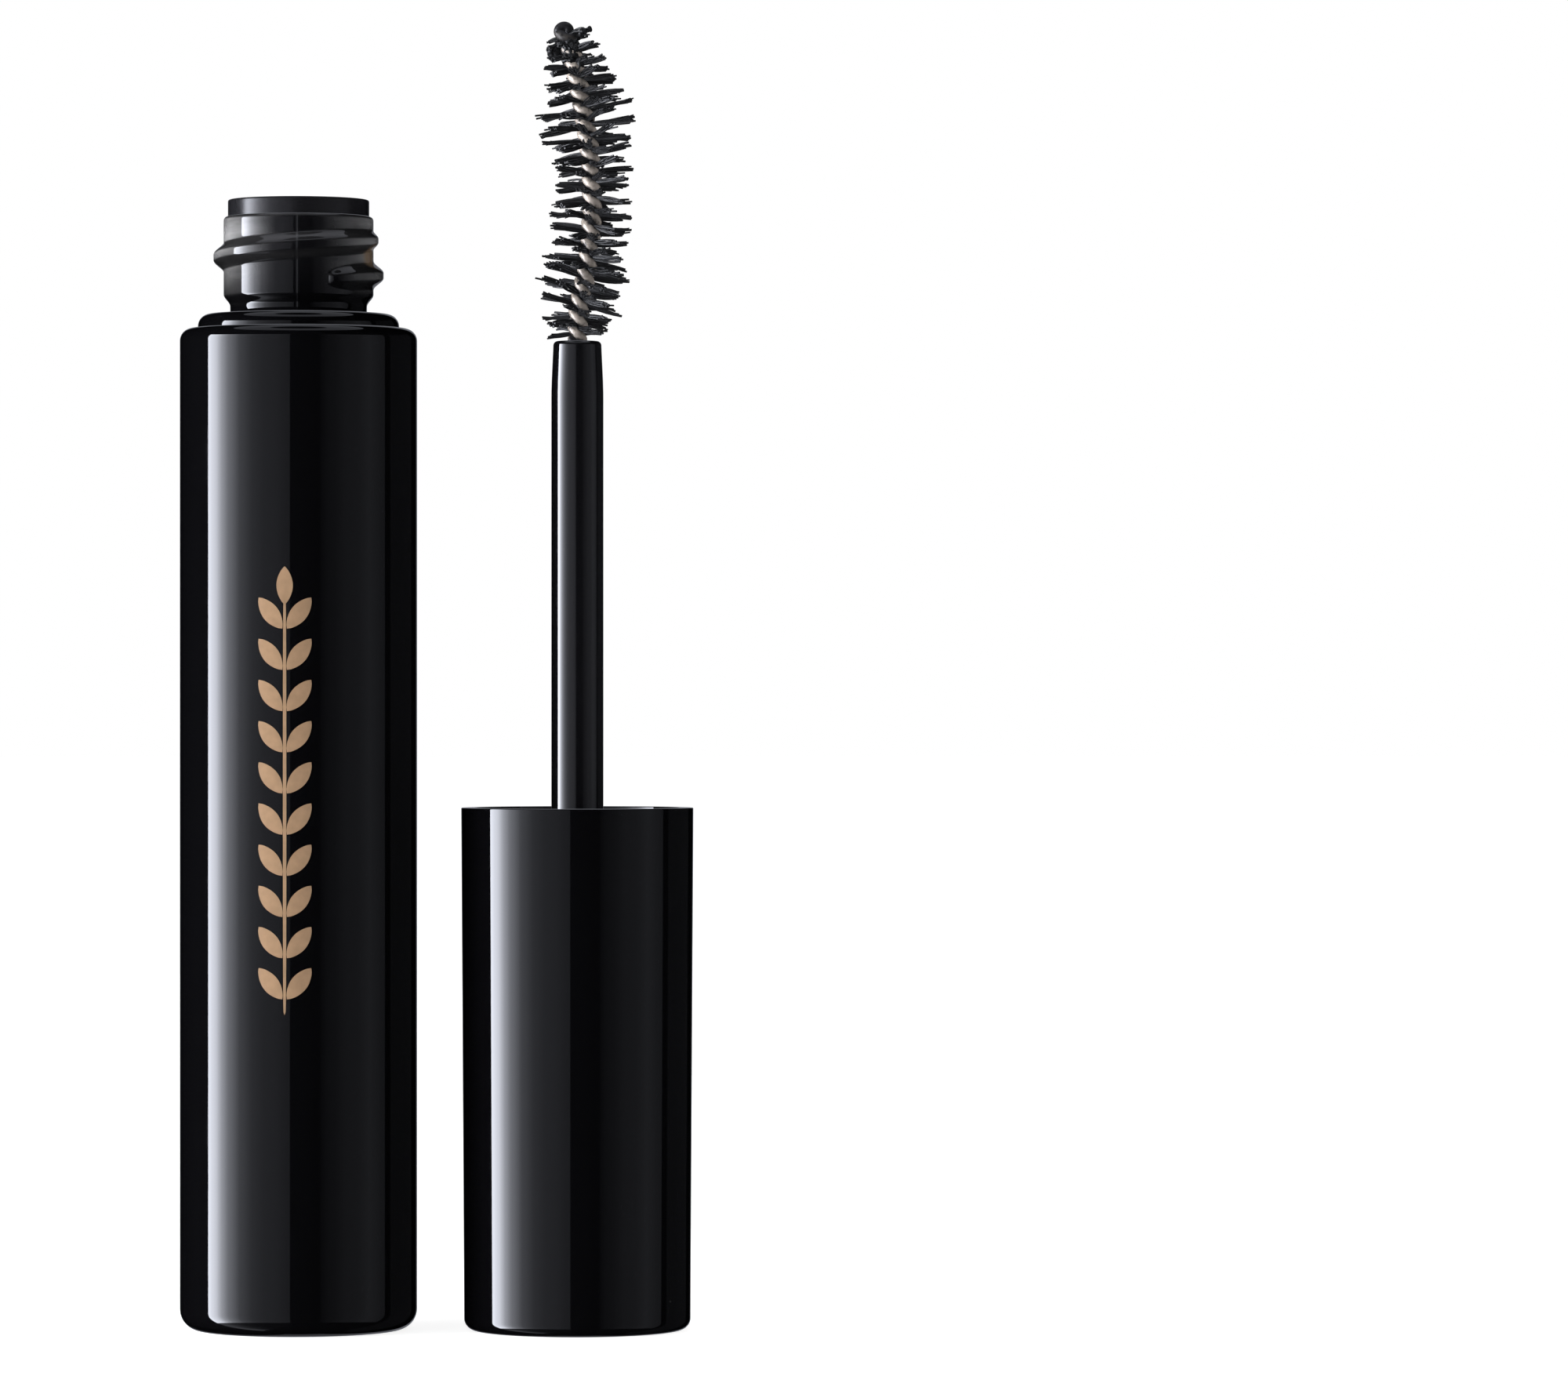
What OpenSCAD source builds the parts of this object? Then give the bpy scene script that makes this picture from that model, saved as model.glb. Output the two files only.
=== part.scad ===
// Mascara tube, opened: the bottle stands upright with its wiper in the neck, and the applicator
// stands beside it on the closed end of its cap, with the rod and the curved brush pointing up.
// Origin at the centre of the bottle's base, +Z up, +X towards the applicator, millimetres.

/* [Neck and thread] */
// Outside diameter of the neck, without its thread
neck_d = 11.5; // [10:0.1:16]
// Height of the neck above the body's shoulder
neck_h = 8.6; // [8:0.1:12]
// Wall of the neck
neck_wall = 1.45; // [1:0.05:1.6]
// How far the thread stands out from the neck
thread_h = 0.78; // [0.5:0.02:1]
// Rise of the thread in one turn
thread_pitch = 2.7; // [2.4:0.1:3]
// Turns of the thread, with its faded ends
thread_turns = 1.2; // [1:0.05:1.4]
// Height of the thread's first end above the shoulder
thread_low = 3.6; // [3.2:0.1:4]
// Radial play between the bottle's thread and the cap's
thread_play = 0.22; // [0.1:0.02:0.4]

/* [Bottle] */
// Height of the body up to the shoulder that the cap's rim lands on
body_h = 76.9; // [50:0.1:110]
// How far the body stands out past the cap's rim
body_lip = 0.18; // [0:0.02:3]
// Wall of the body
body_wall = 1.9; // [1.2:0.1:2.4]
// Thickness of the base
base_t = 4; // [2:0.1:8]
// Rounding where the body meets the base
base_round = 1.6; // [0.5:0.1:2]
// Rounding where the body meets the shoulder
shoulder_round = 0.95; // [0.3:0.05:1]
// Height of the domed step between the shoulder and the neck
step_h = 1.1; // [0.9:0.1:2]
// Depth of the groove round the foot of the neck
groove_depth = 0.5; // [0:0.05:0.5]
// Diameter of the label under the base
label_d = 12.8; // [8:0.1:13.4]
// Thickness of the label, which is flush with the base
label_t = 0.3; // [0.2:0.05:0.6]
// Height of the mascara above the base
fill_h = 71; // [30:0.5:71]
// Diameter of the channel that the brush leaves in the mascara
channel_d = 8.8; // [8:0.1:10]

/* [Wiper] */
// Thickness of the flange that lies on the neck's rim
flange_t = 1.28; // [0.8:0.02:2]
// Wall of the sleeve inside the neck
wiper_wall = 0.85; // [0.5:0.05:1]
// Length of the opening that wipes the rod
orifice_land = 0.8; // [0.4:0.1:1.5]
// Radial play between the opening and the rod
orifice_play = 0.06; // [0:0.02:0.3]

/* [Cap] */
// Height of the cap, from its closed end to its rim
cap_h = 40.1; // [32:0.1:60]
// Wall of the outer cap at its rim
cap_wall = 1.05; // [0.8:0.05:1.6]
// How much smaller the cap's radius is at the closed end
cap_draft = 0.22; // [0:0.02:0.3]
// Thickness of the closed end
cap_end_t = 1.5; // [1:0.1:3]
// Rounding round the closed end
cap_round = 0.9; // [0.3:0.1:1.2]
// Wall of the inner cap
liner_wall = 0.72; // [0.6:0.02:1.2]
// Height of the ribs that grip the outer cap
rib_h = 0.4; // [0.2:0.05:0.8]
// Number of those ribs
rib_count = 12; // [6:1:18]
// Thickness of the sealing washer
washer_t = 0.8; // [0.5:0.1:1.5]
// Free space between the bottle's side and the cap's side
cap_gap = 3.4; // [2:0.1:20]

/* [Rod and brush] */
// Diameter of the rod
stem_d = 4; // [3:0.1:5]
// Length of the rod outside the cap
stem_out = 35.85; // [20:0.05:45]
// Length of the plug that holds the rod in the inner cap
plug_len = 11; // [8:0.5:16]
// Diameter of one strand of the twisted wire
strand_d = 0.8; // [0.6:0.05:1]
// Rise of the twisted wire in one turn
twist_pitch = 2.3; // [1.6:0.1:3.5]
// Length of the wire inside the rod
wire_grip = 5.5; // [4:0.5:8]
// Length of the brush outside the rod
brush_len = 24.5; // [16:0.1:30]
// Sideways bend of the brush, as a share of its full curve
brush_bend = 1; // [0:0.05:1]
// Widest reach of the bristles from the wire
bristle_reach = 3.7; // [2.5:0.1:4]

/* [Hidden] */
$fn = 96;

// Clearances between pieces that are put together
fit = 0.03;
washer_play = 0.2;
washer_gap = 0.05;
rim_play = 0.15;
liner_play = 0.5;

// The neck sets the radii outwards: socket, inner cap, outer cap, step and body
neck_r = neck_d / 2;
bore_r = neck_r - neck_wall;
crest_r = neck_r + thread_h;
socket_r = crest_r + thread_play;
liner_r = socket_r + liner_wall;
cap_bore_r = liner_r + rib_h;
cap_r = cap_bore_r + cap_wall;
body_r = cap_r + body_lip;
cavity_r = body_r - body_wall;
step_r = cap_bore_r - rim_play;
step_round = 0.85 * step_h;
groove_r = neck_r - groove_depth;

// Heights on the bottle
step_z = body_h + step_h;
groove_z = step_z + 0.6;
neck_z = groove_z + 0.9;
rim_z = body_h + neck_h;
rim_round = 0.33;
hollow_shoulder = cavity_r - bore_r;
hollow_z = body_h - 0.9 * hollow_shoulder;

// Wiper
flange_r = neck_r - rim_round;
sleeve_r = bore_r - fit;
throat_r = sleeve_r - wiper_wall;
orifice_r = stem_d / 2 + orifice_play;
bead = 0.18;
bead_z = body_h - 0.45;
lip_t = 0.4;
lip_z = bead_z - 1.3;
funnel_h = throat_r - orifice_r + 1.4;

// Applicator, with its axis beside the bottle
cap_x = body_r + cap_gap + cap_r;
liner_top = cap_h - step_h - liner_play;
washer_z = cap_h - neck_h - flange_t - washer_t;
floor_z = washer_z - washer_gap;
floor_t = 1.4;
liner_z = floor_z - floor_t;
ledge = 0.3;
rib_w = 0.8;
rib_short = 3;
rib_grip = 0.02;
boss_end = 0.5;
stem_r = stem_d / 2;
plug_r = stem_r + 0.4;
boss_r = plug_r + 1.2;
snap = 0.2;
plug_z = floor_z - plug_len;
snap_z = plug_z + 0.45 * plug_len;
stem_z = cap_h + stem_out;
tip_taper = 0.15;
tip_round = 0.35;

// Brush: height as a share of its length, sideways bend, reach as a share of the widest reach
BRUSH = [[0, 0, 0.5], [0.10, 0.12, 0.86], [0.20, 0.6, 0.95], [0.30, 0.95, 0.85],
         [0.43, 1.13, 0.82], [0.56, 1.03, 0.89], [0.70, 0.57, 1], [0.80, 0.12, 0.81],
         [0.90, -0.4, 0.6], [0.95, -0.85, 0.45], [1, -1.27, 0.3]];
brush_steps = 32;
wire_r = strand_d * 0.98;
waist_r = strand_d * 0.56;
wire_grab = 0.02;
twist_steps = 9;
knob_r = 0.75;

// Points of an arc round centre c, from angle a to angle b
function arc(c, r, a, b, n = 8) =
    [for (i = [0:n]) c + r * [cos(a + (b - a) * i / n), sin(a + (b - a) * i / n)]];

// Smooth curve through the rows of a table, at u from 0 to 1
function blend4(a, b, c, d, t) =
    0.5 * (2 * b + (c - a) * t + (2 * a - 5 * b + 4 * c - d) * t * t
           + (3 * b - a - 3 * c + d) * t * t * t);
function row(p, i) = p[max(0, min(len(p) - 1, i))];
function along(p, u) =
    let (s = u * (len(p) - 1), i = min(floor(s), len(p) - 2))
    blend4(row(p, i - 1), row(p, i), row(p, i + 1), row(p, i + 2), s - i);

// Centre of the wire, its slope and the reach of the bristles at u along the brush
function wire_at(u) =
    let (q = along(BRUSH, u)) [brush_bend * q[1], 0, stem_z + brush_len * q[0]];
function reach_at(u) = bristle_reach * along(BRUSH, u)[2];
function slope_at(u) =
    let (a = wire_at(max(0, u - 0.01)), b = wire_at(min(1, u + 0.01))) (b - a) / norm(b - a);

// A ring of n points square to the wire at u, r(angle) from its centre
function ring(c, t, radii) =
    let (side = [t[2], 0, -t[0]], n = len(radii))
    [for (k = [0:n - 1]) c + radii[k] * (cos(360 * k / n) * side + sin(360 * k / n) * [0, 1, 0])];

// Closed solid through rings that all have the same number of points
module skin(rings) {
    n = len(rings[0]);
    m = len(rings);
    walls = [for (i = [0:m - 2], k = [0:n - 1]) let (j = (k + 1) % n)
             each [[i * n + k, (i + 1) * n + k, (i + 1) * n + j], [i * n + k, (i + 1) * n + j, i * n + j]]];
    polyhedron([for (r = rings) each r],
               concat([[for (k = [0:n - 1]) k]], walls, [[for (k = [n - 1:-1:0]) (m - 1) * n + k]]));
}

// Closed tube between outer and inner rings of the same number
module skin_tube(outer, inner) {
    n = len(outer[0]);
    m = len(outer);
    far = m * n;
    walls = [for (i = [0:m - 2], k = [0:n - 1]) let (j = (k + 1) % n, a = i * n, b = a + n)
             each [[a + k, b + k, b + j], [a + k, b + j, a + j],
                   [far + a + k, far + b + j, far + b + k], [far + a + k, far + a + j, far + b + j]]];
    top = far - n;
    ends = [for (k = [0:n - 1]) let (j = (k + 1) % n)
            each [[k, j, far + j], [k, far + j, far + k],
                  [top + k, far + top + j, top + j], [top + k, far + top + k, far + top + j]]];
    polyhedron([for (r = concat(outer, inner)) each r], concat(walls, ends));
}

// Right-hand screw thread with faded ends on a wall of radius r; h below zero points inwards
module thread(r, h, root_w, crest_w, turns) {
    steps = ceil(turns * 30);
    sunk = 0.15 * sign(h);
    fade = 0.11;
    rings = [for (i = [0:steps]) let (
                 u = i / steps,
                 f = min(1, u / fade, (1 - u) / fade),
                 a = 360 * turns * u,
                 z = thread_pitch * turns * u,
                 w = root_w * (0.4 + 0.6 * f) / 2,
                 c = crest_w * (0.4 + 0.6 * f) / 2,
                 low = r - sunk,
                 high = r - 0.5 * sunk + (h + 0.5 * sunk) * f,
                 p = [[low, -w], [high, -c], [high, c], [low, w]])
             [for (q = h < 0 ? p : [p[3], p[2], p[1], p[0]])
                 [q[0] * cos(a), q[0] * sin(a), z + q[1]]]];
    skin(rings);
}

module bottle_outline() {
    polygon(concat(
        [[0, 0]],
        arc([body_r - base_round, base_round], base_round, -90, 0),
        arc([body_r - shoulder_round, body_h - shoulder_round], shoulder_round, 0, 90),
        [[step_r, body_h]],
        arc([step_r - step_round, step_z - step_round], step_round, 0, 90),
        [for (i = [0:6]) let (s = i / 6)
            [groove_r + (neck_r - groove_r) * s * s * (3 - 2 * s), groove_z + (neck_z - groove_z) * s]],
        arc([neck_r - rim_round, rim_z - rim_round], rim_round, 0, 90),
        [[0, rim_z]]));
}

module bottle_hollow(gap = 0) {
    inner_round = 1.5;
    polygon(concat(
        [[0, base_t + gap]],
        arc([cavity_r - inner_round, base_t + inner_round], inner_round - gap, -90, 0),
        [[cavity_r - gap, hollow_z], [bore_r - gap, body_h], [bore_r - gap, rim_z + 1], [0, rim_z + 1]]));
}

// Bottle: body, stepped shoulder, neck and thread in one piece
module bottle() {
    color("#15151a") difference() {
        union() {
            rotate_extrude() bottle_outline();
            translate([0, 0, body_h + thread_low]) rotate(-63)
                thread(neck_r, thread_h, 2.1, 0.8, thread_turns);
        }
        rotate_extrude() bottle_hollow();
        translate([0, 0, -1]) cylinder(h = 1 + label_t, d = label_d + 2 * rim_play);
    }
}

// Wiper: flange on the neck's rim, sleeve with a snap bead, and a funnel down to the opening
module wiper() {
    top = rim_z + flange_t;
    edge = 0.15;
    color("#24242a") rotate_extrude() polygon(concat(
        [[sleeve_r, rim_z], [flange_r, rim_z]],
        arc([flange_r - edge, top - edge], edge, 0, 90, 3),
        [[throat_r + 0.5, top], [throat_r, top - 0.8],
         [throat_r, lip_z + orifice_land + funnel_h], [orifice_r, lip_z + orifice_land],
         [orifice_r, lip_z], [orifice_r + lip_t, lip_z], [sleeve_r - bead, bead_z - 0.4],
         [sleeve_r + bead, bead_z], [sleeve_r, bead_z + 0.3]]));
}

// Mascara: the thick paste that clings to the wall round the brush's channel
module mascara_formula() {
    channel_r = channel_d / 2;
    color("#0a0a0c") difference() {
        intersection() {
            rotate_extrude() bottle_hollow(fit);
            cylinder(h = fill_h, r = body_r);
        }
        translate([0, 0, base_t + channel_r]) {
            sphere(r = channel_r);
            cylinder(h = fill_h, r = channel_r);
        }
    }
}

// Round label in the recess under the base
module base_label() {
    color("#c9b79c") cylinder(h = label_t, d = label_d);
}

// Outer cap: the glossy shell, standing on its closed end, with a ledge inside for the inner cap
module outer_cap() {
    end_r = cap_r - cap_draft;
    color("#101014") translate([cap_x, 0, 0]) difference() {
        rotate_extrude() polygon(concat(
            [[0, 0]],
            arc([end_r - cap_round, cap_round], cap_round, -90, 0),
            [[cap_r, cap_h], [0, cap_h]]));
        translate([0, 0, cap_end_t]) cylinder(h = cap_h, r = liner_r - ledge);
        translate([0, 0, liner_z]) cylinder(h = cap_h, r = cap_bore_r);
    }
}

// Inner cap: ribbed cup with the threaded socket, and under its floor the boss that grips the rod
module inner_cap() {
    color("#1c1c20") translate([cap_x, 0, 0]) {
        difference() {
            union() {
                translate([0, 0, liner_z]) cylinder(h = liner_top - liner_z, r = liner_r);
                translate([0, 0, plug_z - boss_end]) cylinder(h = liner_z - plug_z + boss_end, r = boss_r);
                for (i = [0:rib_count - 1]) rotate(i * 360 / rib_count) intersection() {
                    translate([liner_r - 0.2, -rib_w / 2, liner_z])
                        cube([rib_h + 0.4, rib_w, liner_top - liner_z - rib_short]);
                    cylinder(h = cap_h, r = cap_bore_r + rib_grip);
                }
            }
            translate([0, 0, floor_z]) cylinder(h = cap_h, r = socket_r);
            cylinder(h = cap_h, r = plug_r);
            translate([0, 0, snap_z - 0.5]) cylinder(h = 1, r = plug_r + snap);
        }
        translate([0, 0, cap_h - neck_h + 1.6]) rotate(117)
            thread(socket_r, -thread_h, 1.7, 0.45, thread_turns);
    }
}

// Sealing washer: loose ring round the rod, on the floor of the socket
module sealing_washer() {
    color("#d8d4cc") translate([cap_x, 0, washer_z]) difference() {
        cylinder(h = washer_t, r = socket_r - thread_h + washer_play);
        translate([0, 0, -1]) cylinder(h = washer_t + 2, r = stem_r + washer_play);
    }
}

// Rod: plug with a snap ring, shaft and a rounded end that holds the wire
module stem() {
    end_r = stem_r - tip_taper;
    color("#111115") translate([cap_x, 0, 0]) difference() {
        rotate_extrude() polygon(concat(
            [[0, plug_z], [plug_r - fit, plug_z], [plug_r - fit, snap_z - 0.4],
             [plug_r + snap - fit, snap_z - 0.2], [plug_r + snap - fit, snap_z + 0.2],
             [plug_r - fit, snap_z + 0.4], [plug_r - fit, floor_z], [stem_r, floor_z],
             [stem_r, stem_z - 4]],
            arc([end_r - tip_round, stem_z - tip_round], tip_round, 0, 90, 5),
            [[0, stem_z]]));
        translate([0, 0, stem_z - wire_grip - 0.3]) cylinder(h = wire_grip + 1, r = wire_r - wire_grab);
    }
}

// Wire core: two strands twisted together, gripped in the rod, with its turned-over end
module brush_wire() {
    turns = (wire_grip + brush_len) / twist_pitch;
    grip_steps = ceil(twist_steps * wire_grip / twist_pitch);
    out_steps = ceil(twist_steps * brush_len / twist_pitch);
    lobes = 12;
    heights = concat([for (i = [0:grip_steps - 1]) i / grip_steps - 1], [for (i = [0:out_steps]) i / out_steps]);
    rings = [for (u = heights) let (
                 z = u < 0 ? wire_grip * u : wire_at(u)[2] - stem_z,
                 c = u < 0 ? [0, 0, stem_z + z] : wire_at(u),
                 t = u < 0 ? [0, 0, 1] : slope_at(u),
                 a = 360 * z / twist_pitch,
                 k = max(0, 1 - abs(brush_len - knob_r - z) / knob_r),
                 tip = 1 - 0.6 * pow(max(0, 1 - (brush_len - z) / knob_r), 3))
             ring(c, t, [for (j = [0:lobes - 1])
                 tip * (max(knob_r * k, (wire_r + waist_r) / 2
                     + (wire_r - waist_r) / 2 * cos(2 * (360 * j / lobes + a))))])];
    color("#3a3a40") translate([cap_x, 0, 0]) skin(rings);
}

// Bristles: plain solid of the space they fill round the wire
module bristles() {
    sides = 20;
    first = 0.02;
    last = 0.965;
    us = [for (i = [0:brush_steps]) first + (last - first) * i / brush_steps];
    color("#08080a") translate([cap_x, 0, 0]) skin_tube(
        [for (u = us) ring(wire_at(u), slope_at(u), [for (k = [1:sides]) reach_at(u)])],
        [for (u = us) ring(wire_at(u), slope_at(u), [for (k = [1:sides]) wire_r + fit])]);
}

bottle();
wiper();
mascara_formula();
base_label();
outer_cap();
inner_cap();
sealing_washer();
stem();
brush_wire();
bristles();
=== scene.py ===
import math

import bmesh
import bpy
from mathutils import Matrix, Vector


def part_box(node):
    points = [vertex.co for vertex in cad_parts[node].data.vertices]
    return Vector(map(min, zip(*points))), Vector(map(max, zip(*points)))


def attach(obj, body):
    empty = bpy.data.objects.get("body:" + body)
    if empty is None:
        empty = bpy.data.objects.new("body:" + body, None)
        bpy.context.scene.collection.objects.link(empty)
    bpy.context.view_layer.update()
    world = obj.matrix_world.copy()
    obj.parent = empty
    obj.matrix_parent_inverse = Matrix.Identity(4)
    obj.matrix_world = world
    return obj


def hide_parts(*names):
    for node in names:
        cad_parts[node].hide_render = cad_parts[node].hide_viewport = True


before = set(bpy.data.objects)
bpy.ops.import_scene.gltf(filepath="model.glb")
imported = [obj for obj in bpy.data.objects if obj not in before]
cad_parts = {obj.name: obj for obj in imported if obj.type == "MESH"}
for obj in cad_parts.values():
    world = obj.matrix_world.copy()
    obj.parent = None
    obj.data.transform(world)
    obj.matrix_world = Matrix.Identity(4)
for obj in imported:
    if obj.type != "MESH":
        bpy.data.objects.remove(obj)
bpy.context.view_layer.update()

scene = bpy.context.scene
mm = 0.001


# ---- Camera --------------------------
# A long lens at a little over half the height, level and square to the two parts, so that their
# sides stay upright. The view reaches past the cap on the right.
view_width = 120.5
view_x = 37.3
view_z = 48.6
view_distance = 625

camera_data = bpy.data.cameras.new("camera")
camera_data.sensor_width = 36
camera_data.lens = camera_data.sensor_width * view_distance / view_width
camera = bpy.data.objects.new("camera", camera_data)
camera.location = Vector((view_x, -view_distance, view_z)) * mm
camera.rotation_euler = (math.radians(90), 0, 0)
scene.collection.objects.link(camera)
scene.camera = camera


# ---- Studio --------------------------
# A white sweep under and behind the parts, and curved soft boxes round them. The boxes only show
# as reflections: each fades from one side to the other, and a dim spill carries it on downwards.
scene.view_settings.view_transform = "Standard"
sky_fill = 0.3
floor_glow = 0.86
floor_r = 6.0
floor_drop = 0.03


def add(tree, kind, values=(), **settings):
    """Adds a node, sets its fields, and fills its inputs with values or with other nodes' outputs."""
    made = tree.nodes.new(kind)
    for field, value in settings.items():
        setattr(made, field, value)
    for key, value in dict(values).items():
        if isinstance(value, bpy.types.NodeSocket):
            tree.links.new(value, made.inputs[key])
        else:
            made.inputs[key].default_value = value
    return made


def calc(tree, operation, *values):
    return add(tree, "ShaderNodeMath", dict(enumerate(values)), operation=operation).outputs[0]


def times(tree, first, second):
    return calc(tree, "MULTIPLY", first, second)


def empty_tree(owner):
    owner.use_nodes = True
    owner.node_tree.nodes.clear()
    return owner.node_tree


def as_mesh(name, made):
    mesh = bpy.data.meshes.new(name)
    made.to_mesh(mesh)
    made.free()
    return mesh


def show_object(name, mesh, material):
    made = bpy.data.objects.new(name, mesh)
    mesh.materials.clear()
    mesh.materials.append(material)
    scene.collection.objects.link(made)
    return made


sky = bpy.data.worlds.new("sweep")
tree = empty_tree(sky)
rays = add(tree, "ShaderNodeLightPath").outputs
seen = calc(tree, "MAXIMUM", rays["Is Camera Ray"], rays["Is Transmission Ray"])
level = calc(tree, "MAXIMUM", seen, times(tree, rays["Is Diffuse Ray"], sky_fill))
glow = add(tree, "ShaderNodeBackground", {"Color": (1, 1, 1, 1), "Strength": level})
add(tree, "ShaderNodeOutputWorld", {"Surface": glow.outputs[0]})
scene.world = sky

floor_paper = bpy.data.materials.new("floor_paper")
tree = empty_tree(floor_paper)
fill = add(tree, "ShaderNodeEmission", {"Color": (1, 1, 1, 1), "Strength": floor_glow})
sheet = add(tree, "ShaderNodeBsdfDiffuse", {"Color": (0.5, 0.5, 0.5, 1)})
both = add(tree, "ShaderNodeAddShader", {0: fill.outputs[0], 1: sheet.outputs[0]})
add(tree, "ShaderNodeOutputMaterial", {"Surface": both.outputs[0]})

made = bmesh.new()
bmesh.ops.create_circle(made, cap_ends=True, segments=96, radius=floor_r)
bmesh.ops.translate(made, verts=made.verts, vec=(0, 0, -floor_drop * mm))
floor = show_object("floor", as_mesh("floor", made), floor_paper)
floor.visible_glossy = False

lamp_cloth = bpy.data.materials.new("lamp_cloth")
tree = empty_tree(lamp_cloth)
level = add(tree, "ShaderNodeAttribute", attribute_name="level")
glow = add(tree, "ShaderNodeEmission", {"Color": (0.87, 0.9, 1, 1), "Strength": level.outputs["Fac"]})
add(tree, "ShaderNodeOutputMaterial", {"Surface": glow.outputs[0]})


def soft_box(name, stops, low, high, strength=1.0, radius=2.0):
    """Curved panel seen only in reflections: stops are (degrees from the camera's side, brightness),
    and low and high are its edges in degrees above the horizon."""
    made = bmesh.new()
    levels = made.verts.layers.float.new("level")
    columns = []
    for (a, first), (b, last) in zip(stops, stops[1:]):
        steps = max(1, round((b - a) / 3))
        for step in range(steps + (b == stops[-1][0])):
            share = step / steps
            columns.append((a + (b - a) * share, first + (last - first) * share))
    rows = []
    for elevation in (low, high):
        z = view_z * mm + radius * math.tan(math.radians(elevation))
        row = []
        for angle, brightness in columns:
            turn = math.radians(angle)
            vert = made.verts.new((radius * math.sin(turn), -radius * math.cos(turn), z))
            vert[levels] = brightness * strength
            row.append(vert)
        rows.append(row)
    for k in range(len(columns) - 1):
        made.faces.new((rows[0][k], rows[0][k + 1], rows[1][k + 1], rows[1][k]))
    panel = show_object(name, as_mesh(name, made), lamp_cloth)
    for rays in ("camera", "diffuse", "transmission", "shadow"):
        setattr(panel, "visible_" + rays, False)


left_stops = [(-95, 16.5), (-84, 13), (-77, 7.3), (-69, 3.7), (-56, 1.3), (-43, 0.6), (-31, 0.39),
              (-19, 0.335), (-8, 0.24), (-5, 0.22)]
right_stops = [(24, 0.02), (32, 0.075), (38, 0.09), (50, 0.16), (63, 0.18), (76, 0.25), (91, 0.15),
               (96, 0.12)]
for part, low, high, strength in (("box", -34, 20, 1.0), ("spill", -72, -34, 0.05)):
    soft_box("left_" + part, left_stops, low, high, strength)
    soft_box("right_" + part, right_stops, low, high, strength)
soft_box("rear_haze", [(104, 0.035), (146, 0.015)], -64, 20)
soft_box("back_sweep", [(168, 0.3), (192, 0.3)], -64, 60)
soft_box("top_box", [(0, 0.6), (180, 0.6), (360, 0.6)], 56, 76)

for name, place, size, watts in (("front_left", (-0.9, -1.1, 0.8), 0.9, 6.0),
                                 ("front_right", (1.0, -1.0, 0.6), 0.9, 4.0),
                                 ("side_left", (-1.35, -0.45, 0.1), 0.8, 110.0),
                                 ("side_right", (1.4, 0.3, 0.1), 0.8, 10.0)):
    lamp_data = bpy.data.lights.new(name, "AREA")
    lamp_data.size = size
    lamp_data.energy = watts
    lamp = bpy.data.objects.new(name, lamp_data)
    lamp.location = place
    aim = Vector((0.01, 0, view_z * mm)) - Vector(place)
    lamp.rotation_euler = aim.to_track_quat("-Z", "Y").to_euler()
    lamp.visible_glossy = False
    lamp.visible_camera = False
    scene.collection.objects.link(lamp)


# ---- Bottle --------------------------
# A thick-walled bottle blown in one piece from near-black plastic: straight body, a domed step, and
# a neck with a screw thread. The upper neck is of thin smoke-grey plastic, and its colour is painted
# lighter towards its sides and on its upright faces: painted backlight, standing in for light showing
# through the thin wall. The mould's two halves meet in a fine ridge that runs up it.
bottle_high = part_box("bottle")[1]
body_r = bottle_high.x / mm
rim_z = bottle_high.z / mm
neck_r = 5.75
body_h = 76.9
base_round = 1.6
shoulder_round = 0.95
step_r = 7.72
step_z = 78.0
step_round = 0.935
groove_r = 5.25
groove_z = 78.6
neck_z = 79.5
rim_round = 0.33
bore_r = 4.3
cavity_r = body_r - 1.9
base_t = 4.0
recess_r = 6.55
recess_t = 0.3
thread_h = 0.78
thread_pitch = 2.7
thread_turns = 1.2
thread_start = -63
thread_low = 80.5
thread_root_w = 2.25
thread_crest_w = 0.4
nose = 0.075
ridge_angles = (-87.1, 92.9)
ridge_h = 0.035
ridge_spread = 0.7
sharp_edge = 38
thin_low = 78.4
thin_high = 83.6
tan_patch_place = (5.5 * mm, -1.6 * mm, 82.4 * mm)
tan_patch_r = (0.7 * mm, 1.3 * mm)


def arc(middle_r, middle_z, radius, first, last, steps=10):
    """Points of a round corner, from one angle to another, as (radius, height) in millimetres."""
    turns = [math.radians(first + (last - first) * k / steps) for k in range(steps + 1)]
    return [(middle_r + radius * math.cos(t), middle_z + radius * math.sin(t)) for t in turns]


def rows(radius, low, high, gap):
    """Points up or down a straight wall, about gap apart, without its ends."""
    count = max(2, round(abs(high - low) / gap))
    return [(radius, low + (high - low) * k / count) for k in range(1, count)]


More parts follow.
